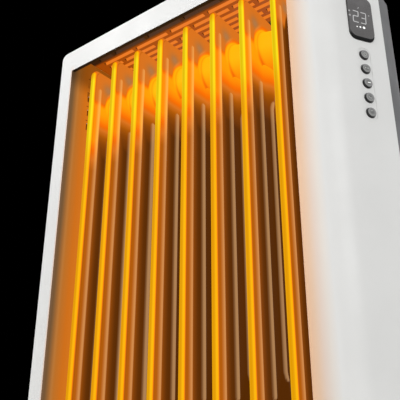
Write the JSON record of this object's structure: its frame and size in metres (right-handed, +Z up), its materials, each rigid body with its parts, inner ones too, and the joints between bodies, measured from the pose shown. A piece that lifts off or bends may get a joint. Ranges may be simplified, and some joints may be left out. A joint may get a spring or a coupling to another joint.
{
  "type": "oil-filled radiator",
  "caption": "Free-standing oil-filled radiator: pressed fins behind a tall window in a white moulded case, with an oblique panel of display and buttons, on swivelling castors.",
  "frame": {"origin": "on the floor, under the middle of the case", "axes": "+X to the right along the front, towards the control panel; +Y to the back; +Z up"},
  "size_m": [0.5182, 0.254, 0.765],
  "materials": {
    "white_plastic": "fine satin moulding",
    "dark_plastic": "fine grain",
    "black_lens": "polished",
    "button_plastic": "satin grey",
    "inner_plastic": "plain",
    "circuit_board": "lacquered",
    "fin_enamel": "powder enamel in warm light",
    "sheet_steel": "satin coat",
    "zinc_steel": "zinc plate",
    "gland_rubber": "matt",
    "wheel_plastic": "satin black"
  },
  "bodies": {
    "case": {"front_frame": "white_plastic", "rear_frame": "white_plastic", "left_cover": "white_plastic", "top_grille": "white_plastic", "display_lens": "black_lens", "display_module": "inner_plastic", "tact_switches": "inner_plastic", "control_board": "circuit_board", "board_carrier": "inner_plastic", "board_screws": "zinc_steel", "filler_plug": "zinc_steel", "heating_element": "zinc_steel", "thermal_cutout": "inner_plastic", "hold_down_straps": "zinc_steel", "hold_down_bolts": "zinc_steel", "core_saddles": "sheet_steel", "left_liner": "sheet_steel", "right_liner": "sheet_steel", "base_tray": "sheet_steel", "end_cover": "dark_plastic", "power_board": "circuit_board", "tilt_switch": "inner_plastic", "cable_gland": "gland_rubber", "frame_screws": "zinc_steel", "case_screws": "zinc_steel", "foot_left": "dark_plastic", "foot_right": "dark_plastic", "fin_1": "fin_enamel", "fin_2": "fin_enamel", "fin_3": "fin_enamel", "fin_4": "fin_enamel", "fin_5": "fin_enamel", "fin_6": "fin_enamel", "fin_7": "fin_enamel", "fin_8": "fin_enamel"},
    "push_button_1": {"button_1": "button_plastic"},
    "push_button_2": {"button_2": "button_plastic"},
    "push_button_3": {"button_3": "button_plastic"},
    "push_button_4": {"button_4": "button_plastic"},
    "push_button_5": {"button_5": "button_plastic"},
    "castor_1": {"castor_fork_1": "zinc_steel"},
    "wheel_1": {"castor_wheel_1": "wheel_plastic"},
    "castor_2": {"castor_fork_2": "zinc_steel"},
    "wheel_2": {"castor_wheel_2": "wheel_plastic"},
    "castor_3": {"castor_fork_3": "zinc_steel"},
    "wheel_3": {"castor_wheel_3": "wheel_plastic"},
    "castor_4": {"castor_fork_4": "zinc_steel"},
    "wheel_4": {"castor_wheel_4": "wheel_plastic"},
    "tilt_pendulum": {"tilt_weight": "zinc_steel"}
  },
  "joints": [
    {"name": "button_1_press", "type": "slide", "parent": "case", "child": "push_button_1", "axis": [-0.8508, 0.5255, 0], "range_m": [0, 0.0008], "stiffness_N_per_m": 600, "springref_m": -0.0015},
    {"name": "button_2_press", "type": "slide", "parent": "case", "child": "push_button_2", "axis": [-0.8508, 0.5255, 0], "range_m": [0, 0.0008], "stiffness_N_per_m": 600, "springref_m": -0.0015},
    {"name": "button_3_press", "type": "slide", "parent": "case", "child": "push_button_3", "axis": [-0.8508, 0.5255, 0], "range_m": [0, 0.0008], "stiffness_N_per_m": 600, "springref_m": -0.0015},
    {"name": "button_4_press", "type": "slide", "parent": "case", "child": "push_button_4", "axis": [-0.8508, 0.5255, 0], "range_m": [0, 0.0008], "stiffness_N_per_m": 600, "springref_m": -0.0015},
    {"name": "button_5_press", "type": "slide", "parent": "case", "child": "push_button_5", "axis": [-0.8508, 0.5255, 0], "range_m": [0, 0.0008], "stiffness_N_per_m": 600, "springref_m": -0.0015},
    {"name": "castor_1_swivel", "type": "hinge", "parent": "case", "child": "castor_1", "pos_m": [-0.17539, -0.102, 0.046], "axis": [0, 0, 1], "continuous": true},
    {"name": "wheel_1_roll", "type": "hinge", "parent": "castor_1", "child": "wheel_1", "pos_m": [-0.16039, -0.102, 0.02], "axis": [0, 1, 0], "continuous": true},
    {"name": "castor_2_swivel", "type": "hinge", "parent": "case", "child": "castor_2", "pos_m": [-0.17539, 0.102, 0.046], "axis": [0, 0, 1], "continuous": true},
    {"name": "wheel_2_roll", "type": "hinge", "parent": "castor_2", "child": "wheel_2", "pos_m": [-0.16039, 0.102, 0.02], "axis": [0, 1, 0], "continuous": true},
    {"name": "castor_3_swivel", "type": "hinge", "parent": "case", "child": "castor_3", "pos_m": [0.11621, -0.102, 0.046], "axis": [0, 0, 1], "continuous": true},
    {"name": "wheel_3_roll", "type": "hinge", "parent": "castor_3", "child": "wheel_3", "pos_m": [0.13121, -0.102, 0.02], "axis": [0, 1, 0], "continuous": true},
    {"name": "castor_4_swivel", "type": "hinge", "parent": "case", "child": "castor_4", "pos_m": [0.11621, 0.102, 0.046], "axis": [0, 0, 1], "continuous": true},
    {"name": "wheel_4_roll", "type": "hinge", "parent": "castor_4", "child": "wheel_4", "pos_m": [0.13121, 0.102, 0.02], "axis": [0, 1, 0], "continuous": true},
    {"name": "tilt_weight_swing", "type": "hinge", "parent": "case", "child": "tilt_pendulum", "pos_m": [0.18211, 0.04, 0.184], "axis": [1, 0, 0], "range_deg": [-20, 20]}
  ]
}
